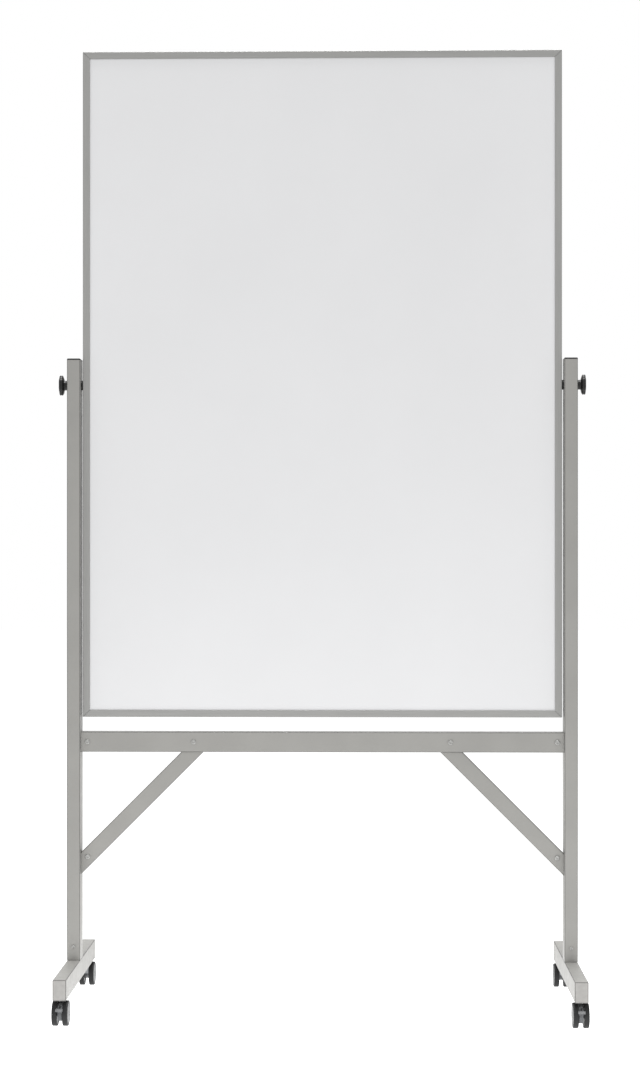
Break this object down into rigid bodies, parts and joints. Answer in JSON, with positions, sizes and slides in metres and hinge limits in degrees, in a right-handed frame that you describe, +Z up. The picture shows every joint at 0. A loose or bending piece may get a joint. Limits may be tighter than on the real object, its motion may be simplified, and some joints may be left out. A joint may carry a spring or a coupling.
{
  "type": "rolling whiteboard",
  "caption": "Tall framed writing board, white on both faces, that turns end over end between two posts on a braced stand with braked twin-wheel casters.",
  "frame": {"origin": "on the floor, midway between the feet", "axes": "+Z up, +X to the right seen from the front, +Y away from the front"},
  "size_m": [1.3544, 0.5594, 2.4552],
  "materials": {
    "stand_paint": "warm grey satin powder coat",
    "frame_aluminium": "satin anodised, brushed lengthwise",
    "white_enamel": "smooth white enamelled steel, low gloss",
    "core_board": "raw fibreboard, hidden inside the panel",
    "steel": "plain zinc-plated steel",
    "screw_steel": "screw heads coated like the stand, slightly darker",
    "black_plastic": "fine-grained black moulding",
    "knob_plastic": "black moulding, satin",
    "foot_cap_plastic": "light grey moulding",
    "caster_housing": "dark grey moulding",
    "wheel_tread": "charcoal tread, light grey hub disc",
    "pedal_plastic": "light grey moulding"
  },
  "bodies": {
    "root": {"left_post": "stand_paint", "left_post_cap": "black_plastic", "left_post_sleeve": "steel", "left_post_screw": "screw_steel", "left_foot": "stand_paint", "left_foot_front_cap": "foot_cap_plastic", "left_foot_rear_cap": "foot_cap_plastic", "left_brace": "stand_paint", "left_crossbar_end_screw": "screw_steel", "left_crossbar_brace_screw": "screw_steel", "left_brace_foot_screw": "screw_steel", "left_pivot_spacer": "black_plastic", "right_post": "stand_paint", "right_post_cap": "black_plastic", "right_post_sleeve": "steel", "right_post_screw": "screw_steel", "right_foot": "stand_paint", "right_foot_front_cap": "foot_cap_plastic", "right_foot_rear_cap": "foot_cap_plastic", "right_brace": "stand_paint", "right_crossbar_end_screw": "screw_steel", "right_crossbar_brace_screw": "screw_steel", "right_brace_foot_screw": "screw_steel", "right_pivot_spacer": "black_plastic", "crossbar": "stand_paint", "front_left_caster_stem": "steel", "front_right_caster_stem": "steel", "rear_left_caster_stem": "steel", "rear_right_caster_stem": "steel"},
    "board": {"board_top_rail": "frame_aluminium", "board_bottom_rail": "frame_aluminium", "board_left_rail": "frame_aluminium", "board_right_rail": "frame_aluminium", "board_core": "core_board", "front_writing_surface": "white_enamel", "back_writing_surface": "white_enamel", "left_pivot_insert": "steel", "right_pivot_insert": "steel"},
    "left_knob": {"left_clamp_knob": "knob_plastic"},
    "right_knob": {"right_clamp_knob": "knob_plastic"},
    "front_left_swivel": {"front_left_caster_housing": "caster_housing", "front_left_caster_axle": "steel"},
    "front_left_pedal": {"front_left_brake_pedal": "pedal_plastic"},
    "front_left_outer_wheel": {"front_left_outer_wheel": "wheel_tread"},
    "front_left_inner_wheel": {"front_left_inner_wheel": "wheel_tread"},
    "front_right_swivel": {"front_right_caster_housing": "caster_housing", "front_right_caster_axle": "steel"},
    "front_right_pedal": {"front_right_brake_pedal": "pedal_plastic"},
    "front_right_outer_wheel": {"front_right_outer_wheel": "wheel_tread"},
    "front_right_inner_wheel": {"front_right_inner_wheel": "wheel_tread"},
    "rear_left_swivel": {"rear_left_caster_housing": "caster_housing", "rear_left_caster_axle": "steel"},
    "rear_left_pedal": {"rear_left_brake_pedal": "pedal_plastic"},
    "rear_left_outer_wheel": {"rear_left_outer_wheel": "wheel_tread"},
    "rear_left_inner_wheel": {"rear_left_inner_wheel": "wheel_tread"},
    "rear_right_swivel": {"rear_right_caster_housing": "caster_housing", "rear_right_caster_axle": "steel"},
    "rear_right_pedal": {"rear_right_brake_pedal": "pedal_plastic"},
    "rear_right_outer_wheel": {"rear_right_outer_wheel": "wheel_tread"},
    "rear_right_inner_wheel": {"rear_right_inner_wheel": "wheel_tread"}
  },
  "joints": [
    {"name": "board_flip", "type": "hinge", "parent": "root", "child": "board", "pos_m": [0, 0, 1.59685], "axis": [1, 0, 0], "continuous": true},
    {"name": "left_knob_turn", "type": "hinge", "parent": "root", "child": "left_knob", "pos_m": [-0.6552, 0, 1.59685], "axis": [1, 0, 0], "continuous": true},
    {"name": "right_knob_turn", "type": "hinge", "parent": "root", "child": "right_knob", "pos_m": [0.6552, 0, 1.59685], "axis": [1, 0, 0], "continuous": true},
    {"name": "front_left_swivel_turn", "type": "hinge", "parent": "root", "child": "front_left_swivel", "pos_m": [-0.6381, -0.224, 0.05], "axis": [0, 0, 1], "continuous": true},
    {"name": "front_left_outer_wheel_spin", "type": "hinge", "parent": "front_left_swivel", "child": "front_left_outer_wheel", "pos_m": [-0.6381, -0.242, 0.031], "axis": [1, 0, 0], "continuous": true},
    {"name": "front_left_inner_wheel_spin", "type": "hinge", "parent": "front_left_swivel", "child": "front_left_inner_wheel", "pos_m": [-0.6381, -0.242, 0.031], "axis": [1, 0, 0], "continuous": true},
    {"name": "front_left_brake_press", "type": "hinge", "parent": "front_left_swivel", "child": "front_left_pedal", "pos_m": [-0.6381, -0.255, 0.043], "axis": [1, 0, 0], "range_deg": [0, 12]},
    {"name": "front_right_swivel_turn", "type": "hinge", "parent": "root", "child": "front_right_swivel", "pos_m": [0.6381, -0.224, 0.05], "axis": [0, 0, 1], "continuous": true},
    {"name": "front_right_outer_wheel_spin", "type": "hinge", "parent": "front_right_swivel", "child": "front_right_outer_wheel", "pos_m": [0.6381, -0.242, 0.031], "axis": [1, 0, 0], "continuous": true},
    {"name": "front_right_inner_wheel_spin", "type": "hinge", "parent": "front_right_swivel", "child": "front_right_inner_wheel", "pos_m": [0.6381, -0.242, 0.031], "axis": [1, 0, 0], "continuous": true},
    {"name": "front_right_brake_press", "type": "hinge", "parent": "front_right_swivel", "child": "front_right_pedal", "pos_m": [0.6381, -0.255, 0.043], "axis": [1, 0, 0], "range_deg": [0, 12]},
    {"name": "rear_left_swivel_turn", "type": "hinge", "parent": "root", "child": "rear_left_swivel", "pos_m": [-0.6381, 0.224, 0.05], "axis": [0, 0, 1], "continuous": true},
    {"name": "rear_left_outer_wheel_spin", "type": "hinge", "parent": "rear_left_swivel", "child": "rear_left_outer_wheel", "pos_m": [-0.6381, 0.242, 0.031], "axis": [1, 0, 0], "continuous": true},
    {"name": "rear_left_inner_wheel_spin", "type": "hinge", "parent": "rear_left_swivel", "child": "rear_left_inner_wheel", "pos_m": [-0.6381, 0.242, 0.031], "axis": [1, 0, 0], "continuous": true},
    {"name": "rear_left_brake_press", "type": "hinge", "parent": "rear_left_swivel", "child": "rear_left_pedal", "pos_m": [-0.6381, 0.255, 0.043], "axis": [1, 0, 0], "range_deg": [-12, 0]},
    {"name": "rear_right_swivel_turn", "type": "hinge", "parent": "root", "child": "rear_right_swivel", "pos_m": [0.6381, 0.224, 0.05], "axis": [0, 0, 1], "continuous": true},
    {"name": "rear_right_outer_wheel_spin", "type": "hinge", "parent": "rear_right_swivel", "child": "rear_right_outer_wheel", "pos_m": [0.6381, 0.242, 0.031], "axis": [1, 0, 0], "continuous": true},
    {"name": "rear_right_inner_wheel_spin", "type": "hinge", "parent": "rear_right_swivel", "child": "rear_right_inner_wheel", "pos_m": [0.6381, 0.242, 0.031], "axis": [1, 0, 0], "continuous": true},
    {"name": "rear_right_brake_press", "type": "hinge", "parent": "rear_right_swivel", "child": "rear_right_pedal", "pos_m": [0.6381, 0.255, 0.043], "axis": [1, 0, 0], "range_deg": [-12, 0]}
  ]
}
